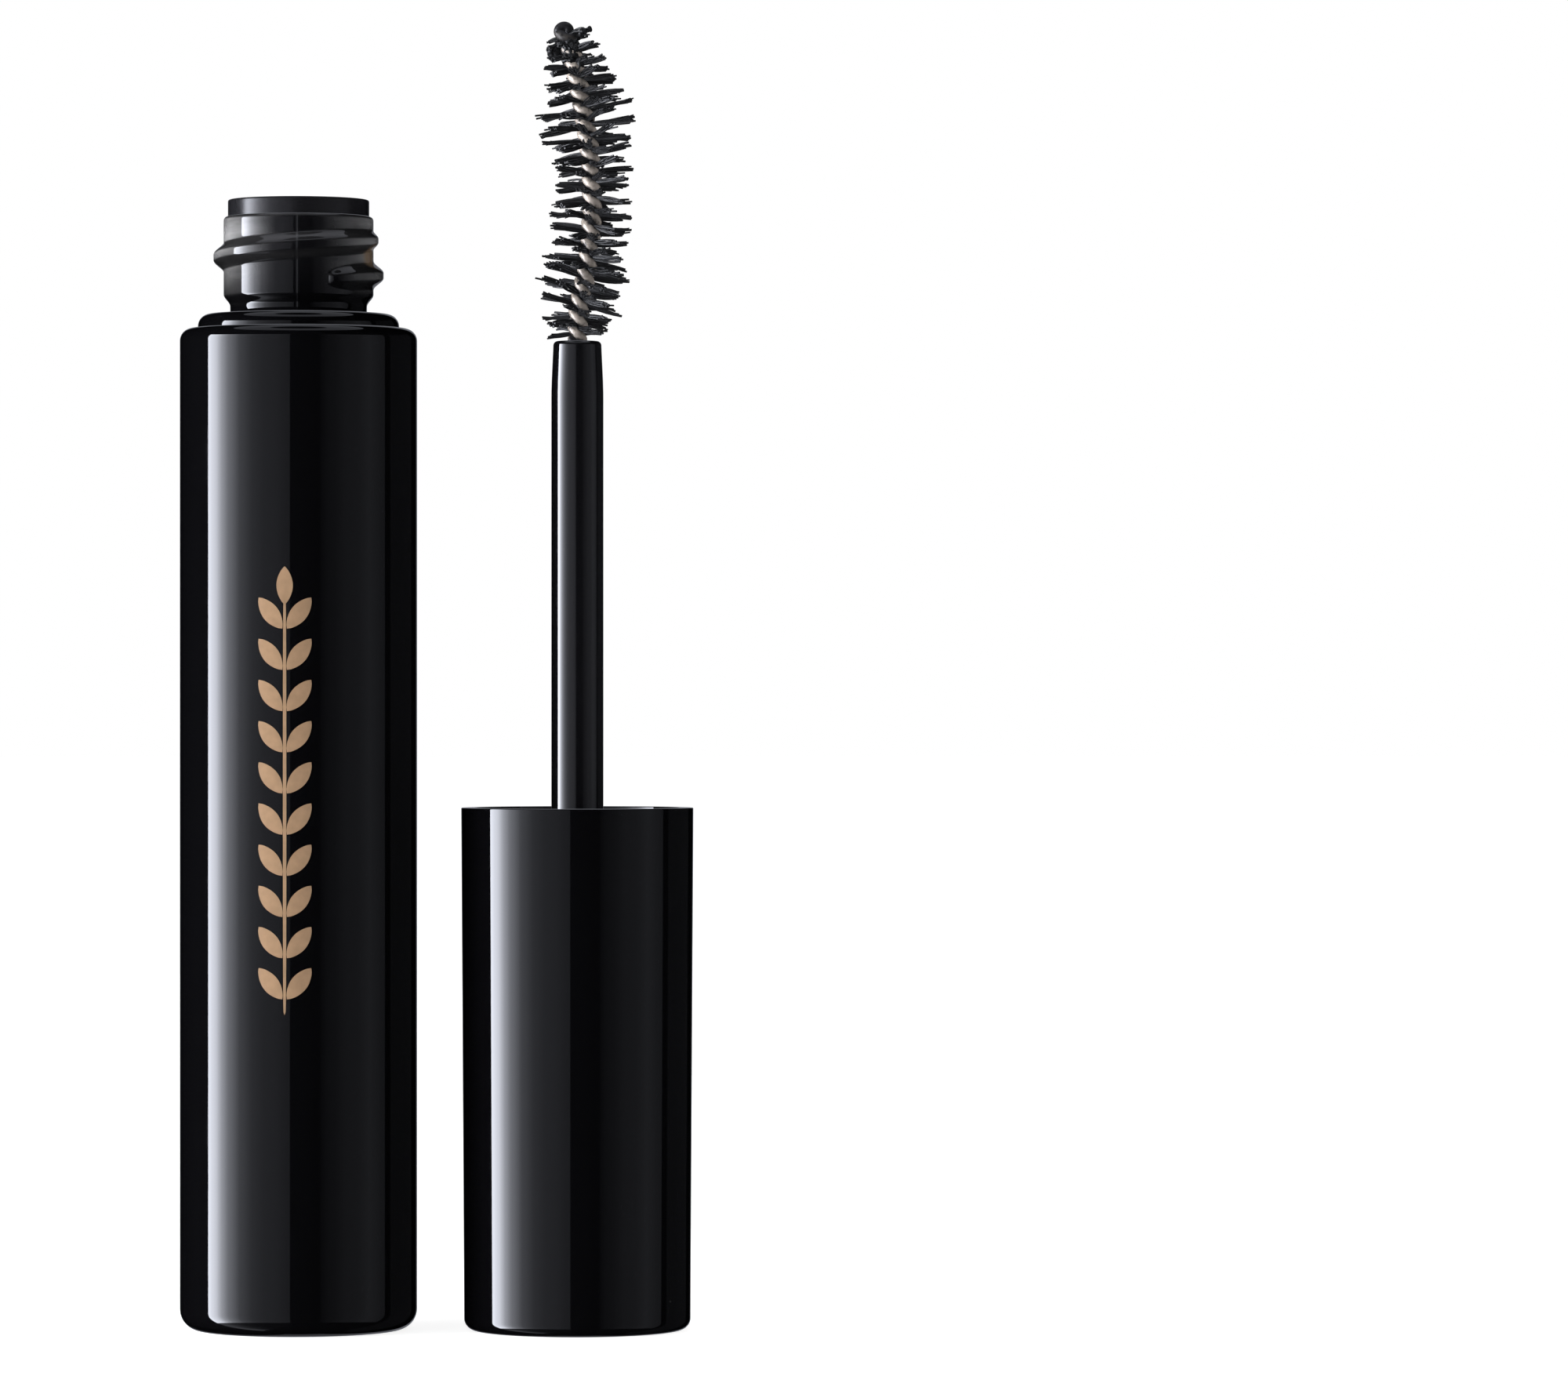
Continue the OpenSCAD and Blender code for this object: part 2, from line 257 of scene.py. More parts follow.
def turned(name, outline, columns, middle=0.0, closed=False, swell=None):
    """Turns an outline of (radius, height) round an upright axis. The outline runs outwards along
    the bottom, up the outside and back along the inside. swell adds to the radius of a point."""
    made = bmesh.new()
    rings = []
    for radius, height in outline:
        if radius < 1e-6:
            rings.append([made.verts.new((middle * mm, 0, height * mm))])
            continue
        ring = []
        for degrees in columns:
            turn = math.radians(degrees)
            r = radius + (swell(degrees, radius, height) if swell else 0)
            x = middle + r * math.cos(turn)
            ring.append(made.verts.new((x * mm, r * math.sin(turn) * mm, height * mm)))
        rings.append(ring)
    following = rings[1:] + [rings[0]] if closed else rings[1:]
    for low, high in zip(rings, following):
        count = max(len(low), len(high))
        for k in range(count):
            n = (k + 1) % count
            corners = [low[k % len(low)], low[n % len(low)], high[n % len(high)], high[k % len(high)]]
            made.faces.new(list(dict.fromkeys(corners)))
    mesh = as_mesh(name, made)
    mesh.shade_smooth()
    mesh.set_sharp_from_angle(angle=math.radians(sharp_edge))
    return mesh


def fit_piece(name, mesh, material, body, slot, *nodes):
    """Puts a finished mesh in the scene, on its body, with its finish, and hides the imported nodes it
    stands for.
    """
    made = show_object(name, mesh, material)
    made.visible_glossy = False
    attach(made, body)
    if nodes:
        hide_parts(*nodes)
    return made


def even_columns(count):
    return [360 * k / count for k in range(count)]


def screw_height(degrees, height, start, low, root_w, crest_w):
    """How far a thread with faded ends stands out at this angle and height."""
    tallest = 0.0
    for lap in range(2):
        travel = (degrees - start) % 360 + 360 * lap
        share = travel / (360 * thread_turns)
        if share >= 1:
            continue
        near_end = min(1, share / nose, (1 - share) / (2.4 * nose))
        fade = math.sqrt(1 - (1 - near_end) ** 2)
        width = 0.4 + 0.6 * fade
        off = abs(height - low - thread_pitch * travel / 360)
        rise = (root_w * width / 2 - off) / ((root_w - crest_w) * width / 2)
        rise = max(0, min(1, rise))
        tallest = max(tallest, thread_h * fade * rise * rise * (3 - 2 * rise))
    return tallest


def neck_swell(degrees, radius, height):
    if height < step_z or radius < groove_r - 0.01:
        return 0
    out = 0
    if radius >= neck_r:
        out = screw_height(degrees, height, thread_start, thread_low, thread_root_w, thread_crest_w)
    for ridge in ridge_angles:
        off = (degrees - ridge + 180) % 360 - 180
        out += ridge_h * math.exp(-(off / ridge_spread) ** 2)
    return out


blend_up = [k / 8 for k in range(9)]
bottle_outline = (
    [(0, recess_t), (recess_r, recess_t), (recess_r, 0), (body_r - base_round - 0.1, 0)]
    + arc(body_r - base_round, base_round, base_round, -90, 0, 14)
    + [(body_r, base_round + 0.15), (body_r, body_h - shoulder_round - 0.1)]
    + arc(body_r - shoulder_round, body_h - shoulder_round, shoulder_round, 0, 90, 12)
    + [(body_r - shoulder_round - 0.08, body_h), (step_r, body_h)]
    + arc(step_r - step_round, step_z - step_round, step_round, 0, 90)
    + [(groove_r + 0.3, step_z), (groove_r + 0.08, step_z + 0.04), (groove_r, step_z + 0.15)]
    + [(groove_r + (neck_r - groove_r) * s * s * (3 - 2 * s), groove_z + (neck_z - groove_z) * s)
       for s in blend_up]
    + rows(neck_r, neck_z, rim_z - rim_round, 0.085)
    + arc(neck_r - rim_round, rim_z - rim_round, rim_round, 0, 90, 8)
    + [(bore_r, rim_z), (bore_r, rim_z - 0.2), (bore_r, body_h), (cavity_r, body_h - 2.6)]
    + [(cavity_r, base_t + 1.5)] + arc(cavity_r - 1.5, base_t + 1.5, 1.5, 0, -90, 6) + [(0, base_t)])
ridge_columns = [ridge + off for ridge in ridge_angles for off in (-1.2, -0.7, -0.35, 0, 0.35, 0.7, 1.2)]
bottle_columns = sorted(a % 360 for a in even_columns(280) + ridge_columns)


def place_of(tree):
    """The place on the object, as a vector output."""
    return add(tree, "ShaderNodeTexCoord").outputs["Object"]


def vector_calc(tree, operation, *values, output=0):
    made = add(tree, "ShaderNodeVectorMath", dict(enumerate(values)), operation=operation)
    return made.outputs[output]


def axes(tree, vector):
    return add(tree, "ShaderNodeSeparateXYZ", {0: vector}).outputs


def noise(tree, place, scale, detail):
    return add(tree, "ShaderNodeTexNoise", {"Vector": place, "Scale": scale, "Detail": detail}).outputs[0]


def ramp(tree, value, low, high, first, last, shape="LINEAR"):
    """Turns a value between low and high into one between first and last."""
    return add(tree, "ShaderNodeMapRange", {0: value, 1: low, 2: high, 3: first, 4: last},
               interpolation_type=shape).outputs[0]


def moulding_marks():
    """Group for moulded plastic: slow waves in the wall, rubbed patches in the gloss, and specks."""
    rub_scale, peel_scale, speck_scale, speck_limit = 120, 3600, 420, 0.93
    tree = bpy.data.node_groups.new("moulding_marks", "ShaderNodeTree")
    sockets = tree.interface
    sockets.new_socket("Place", in_out="INPUT", socket_type="NodeSocketVector")
    for name, value in (("Gloss", 0.06), ("Rub", 0.05), ("Wave Scale", 400.0), ("Specks", 0.5)):
        sockets.new_socket(name, in_out="INPUT", socket_type="NodeSocketFloat").default_value = value
    for name in ("Roughness", "Height", "Speck Mask"):
        sockets.new_socket(name, in_out="OUTPUT", socket_type="NodeSocketFloat")
    given = tree.nodes.new("NodeGroupInput").outputs
    place = given["Place"]
    patch = ramp(tree, noise(tree, place, rub_scale, 5), 0.52, 0.78, 0, 1)
    rough = calc(tree, "MULTIPLY_ADD", patch, given["Rub"], given["Gloss"])
    wave = noise(tree, place, given["Wave Scale"], 2)
    height = calc(tree, "MULTIPLY_ADD", noise(tree, place, peel_scale, 1), 0.05, wave)
    cells = add(tree, "ShaderNodeTexVoronoi", {"Vector": place, "Scale": speck_scale}).outputs
    speck = ramp(tree, cells["Distance"], 0.02, 0.045, 1, 0)
    pick = add(tree, "ShaderNodeSeparateColor", {0: cells["Color"]}).outputs[0]
    shown = times(tree, speck, calc(tree, "GREATER_THAN", pick, speck_limit))
    mask = times(tree, shown, given["Specks"])
    add(tree, "NodeGroupOutput", {"Roughness": rough, "Height": height, "Speck Mask": mask})
    return tree


marks_group = moulding_marks()


def start_material(name, **values):
    """New material with its shader's plain values set; gives the material, its tree and its shader."""
    material = bpy.data.materials.new(name)
    material.use_nodes = True
    tree = material.node_tree
    shader = tree.nodes["Principled BSDF"]
    for key, value in values.items():
        shader.inputs[key.replace("_", " ")].default_value = value
    return material, tree, shader


def mix_colour(tree, share, first, last):
    return add(tree, "ShaderNodeMix", {0: share, 6: first, 7: last}, data_type="RGBA").outputs[2]


def feed(tree, shader, **sources):
    for key, source in sources.items():
        tree.links.new(source, shader.inputs[key.replace("_", " ")])


def raise_surface(tree, shader, height, depth, strength):
    bump = add(tree, "ShaderNodeBump", {"Strength": strength, "Distance": depth * mm, "Height": height})
    feed(tree, shader, Normal=bump.outputs[0])


def moulded(tree, shader, colour, gloss, rub, wave_scale, wave_depth, specks):
    """Joins the moulding marks to a shader; colour is a value or another node's output."""
    marks = add(tree, "ShaderNodeGroup", {
        "Place": place_of(tree), "Gloss": gloss, "Rub": rub, "Wave Scale": wave_scale, "Specks": specks},
        node_tree=marks_group)
    raise_surface(tree, shader, marks.outputs["Height"], wave_depth, 1.0)
    dusty = mix_colour(tree, marks.outputs["Speck Mask"], colour, (0.35, 0.34, 0.33, 1))
    feed(tree, shader, Roughness=marks.outputs["Roughness"], Base_Color=dusty)


bottle_black, tree, shader = start_material("bottle_black", IOR=1.5)
place = place_of(tree)
thin = ramp(tree, axes(tree, place)["Z"], thin_low * mm, thin_high * mm, 0, 1, "SMOOTHSTEP")
squeeze = add(tree, "ShaderNodeMapping", {"Vector": place, "Scale": (0.35, 0.35, 2.2)})
cloud = ramp(tree, noise(tree, squeeze.outputs[0], 420, 4), 0.3, 0.7, 0.35, 1)
smoke = times(tree, thin, cloud)
# Painted light: the next masks make the upper neck's colour lighter towards its silhouettes and on its
# upright faces, a painted backlight for light showing through the thin wall.
edge_on = add(tree, "ShaderNodeLayerWeight", {"Blend": 0.5}).outputs["Facing"]
through = ramp(tree, edge_on, 0.05, 0.62, 0, 1)
facing = axes(tree, add(tree, "ShaderNodeTexCoord").outputs["Normal"])["Z"]
painted_backlight_upright = ramp(tree, calc(tree, "ABSOLUTE", facing), 0.12, 0.5, 1, 0.12)
clear = times(tree, through, painted_backlight_upright)
# The pale grey is the painted backlight colour; the near-black is the neck's own plastic.
wall = mix_colour(tree, clear, (0.003, 0.003, 0.0036, 1), (0.17, 0.17, 0.175, 1))
smoke_and_painted_backlight = mix_colour(tree, smoke, (0.0012, 0.0012, 0.0015, 1), wall)
# A tan patch is painted on the right of the upper neck.
spot = vector_calc(tree, "DISTANCE", place, tan_patch_place, output=1)
tan_patch = ramp(tree, spot, *tan_patch_r, 0.9, 0)
with_tan_patch = mix_colour(tree, tan_patch, smoke_and_painted_backlight, (0.11, 0.078, 0.052, 1))
moulded(tree, shader, with_tan_patch, 0.035, 0.05, 260, 0.004, 0.35)

bottle_mesh = turned("bottle_shell", bottle_outline, bottle_columns, swell=neck_swell)
fit_piece("bottle_shell", bottle_mesh, bottle_black, "bottle", "bottle_black", "bottle")


# ---- Ornament ------------------------
# A sprig of leaves, screen-printed in matt tan ink up the front of the body. The print
# is a thin film of ink, so each shape is a very thin solid that follows the bottle's curve.
print_x = -0.52
print_low = 24.5
print_high = 58.5
film = 0.018
leaf_count = 10
leaf_gap = (print_high - print_low) / (leaf_count + 0.9)


def leaf_mesh(name, length, width, tilt, aside, blunt=0.75, steps=14, lanes=6):
    """Flat pointed leaf in millimetres: it grows up from the origin, tilted to +X."""
    made = bmesh.new()
    layers = []
    for depth in (-film, film):
        grid = []
        for i in range(steps + 1):
            share = i / steps
            half = width / 2 * math.sin(math.pi * share) ** blunt
            line = []
            for j in range(-lanes, lanes + 1):
                across = half * j / lanes
                along = length * share
                x = aside + across * math.cos(tilt) + along * math.sin(tilt)
                z = along * math.cos(tilt) - across * math.sin(tilt)
                line.append(made.verts.new((x * mm, depth * mm, z * mm)))
            grid.append(line)
        layers.append(grid)
    front, back = layers
    last = 2 * lanes
    for i in range(steps):
        for j in range(last):
            made.faces.new((front[i][j], front[i][j + 1], front[i + 1][j + 1], front[i + 1][j]))
            made.faces.new((back[i][j], back[i + 1][j], back[i + 1][j + 1], back[i][j + 1]))
        made.faces.new((front[i][0], front[i + 1][0], back[i + 1][0], back[i][0]))
        made.faces.new((front[i][last], back[i][last], back[i + 1][last], front[i + 1][last]))
    bmesh.ops.remove_doubles(made, verts=made.verts, dist=1e-7)
    bmesh.ops.recalc_face_normals(made, faces=made.faces)
    return as_mesh(name, made)


def plus(tree, first, second):
    return calc(tree, "ADD", first, second)


def vector(tree, x=0.0, y=0.0, z=0.0):
    return add(tree, "ShaderNodeCombineXYZ", {0: x, 1: y, 2: z}).outputs[0]


def instances(tree, points, instance, **values):
    values.update(Points=points, Instance=instance)
    return add(tree, "GeometryNodeInstanceOnPoints", values).outputs[0]


def moved(tree, geometry, **values):
    values.update(Geometry=geometry)
    return add(tree, "GeometryNodeSetPosition", values).outputs[0]


def about_z(tree, angle):
    return add(tree, "FunctionNodeAxisAngleToRotation", {"Axis": (0, 0, 1), "Angle": angle}).outputs[0]


def realized(tree, geometry):
    return add(tree, "GeometryNodeRealizeInstances", {"Geometry": geometry}).outputs[0]


def new_growth(name, inputs):
    """Geometry tree with a geometry input and the named inputs (name, socket type, first value)."""
    tree = bpy.data.node_groups.new(name, "GeometryNodeTree")
    tree.interface.new_socket("Geometry", in_out="INPUT", socket_type="NodeSocketGeometry")
    for label, kind, value in inputs:
        socket = tree.interface.new_socket(label, in_out="INPUT", socket_type="NodeSocket" + kind)
        if value is not None:
            socket.default_value = value
    tree.interface.new_socket("Geometry", in_out="OUTPUT", socket_type="NodeSocketGeometry")
    return tree, tree.nodes.new("NodeGroupInput").outputs


def end_growth(tree, geometry, material):
    painted = add(tree, "GeometryNodeSetMaterial", {"Geometry": realized(tree, geometry),
                                                    "Material": material})
    add(tree, "NodeGroupOutput", {"Geometry": painted.outputs[0]})


def grow(name, tree, values, start=None):
    """Runs a geometry tree once and gives its result as a plain mesh."""
    holder = bpy.data.objects.new(name, start or bpy.data.meshes.new(name))
    scene.collection.objects.link(holder)
    modifier = holder.modifiers.new("grow", "NODES")
    modifier.node_group = tree
    for item in tree.interface.items_tree:
        if item.in_out == "INPUT" and item.name in values:
            modifier[item.identifier] = values[item.name]
    ready = holder.evaluated_get(bpy.context.evaluated_depsgraph_get())
    mesh = bpy.data.meshes.new_from_object(ready)
    bpy.data.objects.remove(holder)
    mesh.name = name
    return mesh


print_tree, given = new_growth("printed_row", [
    ("Count", "Int", 10), ("Gap", "Float", 0.003), ("Low", "Float", 0.0), ("Both Sides", "Bool", True),
    ("Radius", "Float", 0.009), ("Turn", "Float", 0.0), ("Ink", "Material", None)])
tree = print_tree
line = add(tree, "GeometryNodeMeshLine", {
    "Count": given["Count"], "Offset": vector(tree, z=given["Gap"]),
    "Start Location": vector(tree, z=given["Low"])}).outputs[0]
right = instances(tree, line, given["Geometry"])
left = instances(tree, line, given["Geometry"], Selection=given["Both Sides"],
                 Rotation=about_z(tree, math.pi))
pair = add(tree, "GeometryNodeJoinGeometry", {0: right})
tree.links.new(left, pair.inputs[0])
flat = axes(tree, add(tree, "GeometryNodeInputPosition").outputs[0])
reach = calc(tree, "SUBTRACT", given["Radius"], flat["Y"])
turn = plus(tree, calc(tree, "DIVIDE", flat["X"], given["Radius"]), given["Turn"])
wrapped = vector(tree, times(tree, reach, calc(tree, "SINE", turn)),
                 times(tree, times(tree, reach, calc(tree, "COSINE", turn)), -1.0), flat["Z"])
bent = moved(tree, realized(tree, pair.outputs[0]), Position=wrapped)
end_growth(tree, bent, given["Ink"])

ink_tan, tree, shader = start_material("ornament_tan", Roughness=0.55, IOR=1.4)
place = place_of(tree)
mesh_dots = add(tree, "ShaderNodeTexVoronoi", {"Vector": place, "Scale": 5200})
tone = ramp(tree, noise(tree, place, 1800, 4), 0.3, 0.7, 0, 1)
feed(tree, shader, Base_Color=mix_colour(tree, tone, (0.17, 0.106, 0.06, 1), (0.2, 0.124, 0.071, 1)))
raise_surface(tree, shader, mesh_dots.outputs["Distance"], 0.004, 0.4)

print_turn = math.asin(print_x / body_r)
leaf = leaf_mesh("leaf", 3.0, 1.3, math.radians(38), 0.17)
crown_leaf = leaf_mesh("crown_leaf", 2.9, 1.25, 0, 0)
twig = leaf_mesh("twig", print_high - print_low - 2.4, 0.26, 0, 0, blunt=0.12, steps=120, lanes=2)
prints = (("ornament_leaves", leaf, leaf_count, leaf_gap, print_low + 1.2, True),
          ("ornament_twig", twig, 1, 1, print_low, False),
          ("ornament_crown", crown_leaf, 1, 1, print_high - 2.9, False))
for name, shape, count, gap, low, pairs in prints:
    mesh = grow(name, print_tree, {
        "Count": count, "Gap": gap * mm, "Low": low * mm, "Both Sides": pairs,
        "Radius": body_r * mm, "Turn": print_turn, "Ink": ink_tan}, shape)
    fit_piece(name, mesh, ink_tan, "bottle", "ornament_tan")


# ---- Wiper ---------------------------
# A soft black plastic insert pressed into the neck. Its flange lies on the rim, its sleeve snaps in
# with a bead, and its funnel ends in the small opening that wipes the rod.
wiper_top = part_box("wiper")[1].z / mm
flange_r = 5.42
flange_edge = 0.15
sleeve_r = 4.27
throat_r = 3.42
orifice_r = 2.06
lip_z = 75.15
bead_z = 76.45
land = 0.8
funnel_h = throat_r - orifice_r + 1.4

wiper_outline = (
    [(sleeve_r, rim_z + 0.005), (flange_r, rim_z + 0.005), (flange_r, rim_z + 0.1)]
    + [(flange_r, wiper_top - flange_edge - 0.08)]
    + arc(flange_r - flange_edge, wiper_top - flange_edge, flange_edge, 0, 90, 6)
    + [(flange_r - flange_edge - 0.1, wiper_top), (throat_r + 0.6, wiper_top)]
    + [(throat_r + 0.42, wiper_top - 0.05)]
    + [(throat_r + 0.05, wiper_top - 0.7), (throat_r, wiper_top - 0.9)]
    + [(throat_r, lip_z + land + funnel_h), (throat_r - 0.1, lip_z + land + funnel_h - 0.25)]
    + [(orifice_r + 0.08, lip_z + land + 0.2), (orifice_r, lip_z + land), (orifice_r, lip_z)]
    + [(orifice_r + 0.4, lip_z), (sleeve_r - 0.18, bead_z - 0.4), (sleeve_r + 0.02, bead_z)]
    + [(sleeve_r, bead_z + 0.3)])
wiper_plastic, tree, shader = start_material("wiper_plastic", IOR=1.48)
moulded(tree, shader, (0.005, 0.005, 0.006, 1), 0.26, 0.12, 900, 0.004, 0.25)
wiper_mesh = turned("wiper_insert", wiper_outline, even_columns(192), closed=True)
fit_piece("wiper_insert", wiper_mesh, wiper_plastic, "bottle", "wiper_plastic", "wiper")


# ---- Mascara in the bottle -----------
# A stiff black paste that clings to the bottle's wall, with the channel that the brush leaves in it.
# It shows only down the wiper's opening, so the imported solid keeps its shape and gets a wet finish.
def repaint(node, material):
    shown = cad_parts[node]
    if not shown.material_slots:
        shown.data.materials.append(material)
    for slot in shown.material_slots:
        slot.material = material
    shown.visible_glossy = False


def wet_black(name, lump_scale, depth, detail=6, gloss=(0.16, 0.5), pale=(0.012, 0.0125, 0.0135, 1),
              strength=0.8, ior=1.45):
    """Lumpy black with a gloss that goes from wet to dry; depth is the height of the lumps."""
    material, tree, shader = start_material(name, IOR=ior)
    lumps = noise(tree, place_of(tree), lump_scale, detail)
    tone = mix_colour(tree, lumps, (0.002, 0.002, 0.0025, 1), pale)
    feed(tree, shader, Roughness=ramp(tree, lumps, 0.35, 0.65, *gloss), Base_Color=tone)
    raise_surface(tree, shader, lumps, depth, strength)
    return material


repaint("mascara_formula", wet_black("mascara_paste", 700, 0.2))


# ---- Base label ----------------------
# A round paper sticker in the recess under the bottle, printed with plain rings and no words. The
# packed disc keeps its shape.
paper, tree, shader = start_material("label_paper", Roughness=0.7)
ring_gap = 1.6 * mm
place = place_of(tree)
outwards = vector_calc(tree, "LENGTH", vector_calc(tree, "MULTIPLY", place, (1, 1, 0)), output=1)
wave = calc(tree, "SINE", times(tree, outwards, 2 * math.pi / ring_gap))
fibres = noise(tree, place, 2400, 6)
sheet = mix_colour(tree, fibres, (0.5, 0.42, 0.33, 1), (0.64, 0.55, 0.44, 1))
printed = mix_colour(tree, ramp(tree, wave, 0.86, 0.93, 0, 1), sheet, (0.03, 0.027, 0.025, 1))
feed(tree, shader, Base_Color=printed)
raise_surface(tree, shader, fibres, 0.01, 0.4)
repaint("base_label", paper)


# ---- Outer cap -----------------------
# The long glossy shell of the cap, moulded in black plastic with a little draft, standing on its
# closed end. It is pushed over the ribs of the inner cap, which rests on a ledge inside it.
cap_low, cap_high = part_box("outer_cap")
cap_x = (cap_low.x + cap_high.x) / 2 / mm
cap_r = (cap_high.x - cap_low.x) / 2 / mm
cap_h = cap_high.z / mm
cap_end_r = cap_r - 0.22
cap_round = 0.9
cap_bore_r = 7.87
cap_end_t = 1.5
liner_r = 7.47
liner_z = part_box("sealing_washer")[0].z / mm - 1.45
rim_edge = 0.07

cap_outline = (
    [(0, 0), (cap_end_r - cap_round - 0.1, 0)]
    + arc(cap_end_r - cap_round, cap_round, cap_round, -90, 0, 14)
    + [(cap_end_r + 0.001, cap_round + 0.12), (cap_r, cap_h - rim_edge - 0.06)]
    + arc(cap_r - rim_edge, cap_h - rim_edge, rim_edge, 0, 90, 6)
    + [(cap_r - rim_edge - 0.05, cap_h), (cap_bore_r + 0.06, cap_h), (cap_bore_r, cap_h - 0.06)]
    + [(cap_bore_r, cap_h - 0.3), (cap_bore_r, liner_z), (liner_r - 0.3, liner_z)]
    + [(liner_r - 0.3, liner_z - 0.3), (liner_r - 0.3, cap_end_t), (0, cap_end_t)])
cap_black, tree, shader = start_material("cap_black", IOR=1.52)
moulded(tree, shader, (0.0012, 0.0012, 0.0015, 1), 0.03, 0.04, 180, 0.003, 0.3)
cap_mesh = turned("outer_cap_shell", cap_outline, even_columns(240), cap_x)
fit_piece("outer_cap_shell", cap_mesh, cap_black, "applicator", "cap_black", "outer_cap")


# ---- Inner cap -----------------------
# A cup of tougher black plastic inside the outer cap. It carries the screw thread for the bottle's
# neck, and the boss under its floor grips the plug of the rod. Its ribs hold it in the outer cap.
liner_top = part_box("inner_cap")[1].z / mm
socket_r = 6.75
floor_z = liner_z + 1.4
stem_low, stem_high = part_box("stem")
plug_z = stem_low.z / mm
plug_r = 2.4
boss_r = 3.6
inner_thread_start = 117
inner_thread_low = cap_h - 8.6 + 1.6
inner_root_w = 1.7
inner_crest_w = 0.45
rib_count = 12
rib_h = 0.4
rib_w = 0.8


def socket_swell(degrees, radius, height):
    if abs(radius - socket_r) > 0.01:
        return 0
    return -screw_height(degrees, height, inner_thread_start, inner_thread_low, inner_root_w, inner_crest_w)


liner_outline = (
    [(plug_r, plug_z - 0.5), (boss_r - 0.2, plug_z - 0.5), (boss_r, plug_z - 0.3), (boss_r, liner_z - 0.2)]
    + [(boss_r, liner_z), (liner_r, liner_z), (liner_r, liner_top - 0.35), (liner_r, liner_top - 0.22)]
    + arc(liner_r - 0.15, liner_top - 0.15, 0.15, 0, 90, 5)
    + [(socket_r + 0.25, liner_top), (socket_r + 0.05, liner_top - 0.12)]
    + [(socket_r, liner_top - 0.3)] + rows(socket_r, liner_top - 0.3, floor_z + 0.1, 0.1)
    + [(socket_r, floor_z), (plug_r + 0.1, floor_z), (plug_r, floor_z - 0.1)])
liner_plastic, tree, shader = start_material("liner_plastic", IOR=1.49)
moulded(tree, shader, (0.009, 0.009, 0.0105, 1), 0.22, 0.12, 700, 0.004, 0.25)
liner_mesh = turned("inner_cap_cup", liner_outline, even_columns(192), cap_x, closed=True,
                    swell=socket_swell)
fit_piece("inner_cap_cup", liner_mesh, liner_plastic, "applicator", "liner_plastic", "inner_cap")

made = bmesh.new()
rib_outline = [(-rib_w / 2, -0.05), (rib_w / 2, -0.05), (rib_w / 2, rib_h * 0.7), (rib_w * 0.3, rib_h),
               (-rib_w * 0.3, rib_h), (-rib_w / 2, rib_h * 0.7)]
rib_levels = [(liner_z + 0.05, 0.6), (liner_z + 0.6, 1), (liner_top - 3.6, 1), (liner_top - 3, 0.1)]
rib_rings = [[made.verts.new((depth * share * mm, across * mm, z * mm)) for across, depth in rib_outline]
             for z, share in rib_levels]
for low, high in zip(rib_rings, rib_rings[1:]):
    for k in range(len(low)):
        n = (k + 1) % len(low)
        made.faces.new((low[k], low[n], high[n], high[k]))
made.faces.new(rib_rings[0])
made.faces.new(rib_rings[-1])
bmesh.ops.recalc_face_normals(made, faces=made.faces)
rib = as_mesh("rib", made)

rib_tree, given = new_growth("ribs_round_a_wall", [
    ("Count", "Int", 12), ("Radius", "Float", 0.0075), ("Middle", "Float", 0.0),
    ("Plastic", "Material", None)])
tree = rib_tree
circle = add(tree, "GeometryNodeMeshCircle", {"Vertices": given["Count"], "Radius": given["Radius"]})
order = add(tree, "GeometryNodeInputIndex").outputs[0]
turn = calc(tree, "DIVIDE", times(tree, order, 2 * math.pi), given["Count"])
copies = instances(tree, circle.outputs[0], given["Geometry"], Rotation=about_z(tree, turn))
placed = add(tree, "GeometryNodeTransform", {"Geometry": copies,
                                             "Translation": vector(tree, given["Middle"])})
end_growth(tree, placed.outputs[0], given["Plastic"])
ribs_mesh = grow("inner_cap_ribs", rib_tree, {
    "Count": rib_count, "Radius": liner_r * mm, "Middle": cap_x * mm, "Plastic": liner_plastic}, rib)
fit_piece("inner_cap_ribs", ribs_mesh, liner_plastic, "applicator", "liner_plastic", "inner_cap")


# ---- Sealing washer ------------------
# A loose ring of pale foam round the rod, on the floor of the socket. The bottle's wiper presses
# into it when the cap is screwed down.
washer_low, washer_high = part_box("sealing_washer")
washer_r = (washer_high.x - washer_low.x) / 2 / mm
washer_z = washer_low.z / mm
washer_top = washer_high.z / mm
washer_bore = 2.2
soft_edge = 0.22

washer_outline = (
    arc(washer_r - soft_edge, washer_z + soft_edge, soft_edge, -90, 0, 5)
    + arc(washer_r - soft_edge, washer_top - soft_edge, soft_edge, 0, 90, 5)
    + arc(washer_bore + soft_edge, washer_top - soft_edge, soft_edge, 90, 180, 5)
    + arc(washer_bore + soft_edge, washer_z + soft_edge, soft_edge, 180, 270, 5))
foam, tree, shader = start_material("washer_foam", Roughness=0.85)
cells = add(tree, "ShaderNodeTexVoronoi", {"Vector": place_of(tree), "Scale": 4200})
pores = ramp(tree, cells.outputs["Distance"], 0.1, 0.6, 0, 1)
feed(tree, shader, Base_Color=mix_colour(tree, pores, (0.42, 0.4, 0.37, 1), (0.72, 0.7, 0.66, 1)))
raise_surface(tree, shader, pores, 0.05, 0.7)
washer_mesh = turned("foam_washer", washer_outline, even_columns(128), cap_x, closed=True)
fit_piece("foam_washer", washer_mesh, foam, "seal", "washer_foam", "sealing_washer")


# ---- Rod -----------------------------
# A slim black plastic rod. Its thicker plug is snapped into the inner cap, and its far end is
# rounded and holds the twisted wire.
stem_r = 2.0
stem_z = stem_high.z / mm
snap_z = plug_z + 4.95
tip_r = stem_r - 0.15
tip_round = 0.35
fit = 0.03

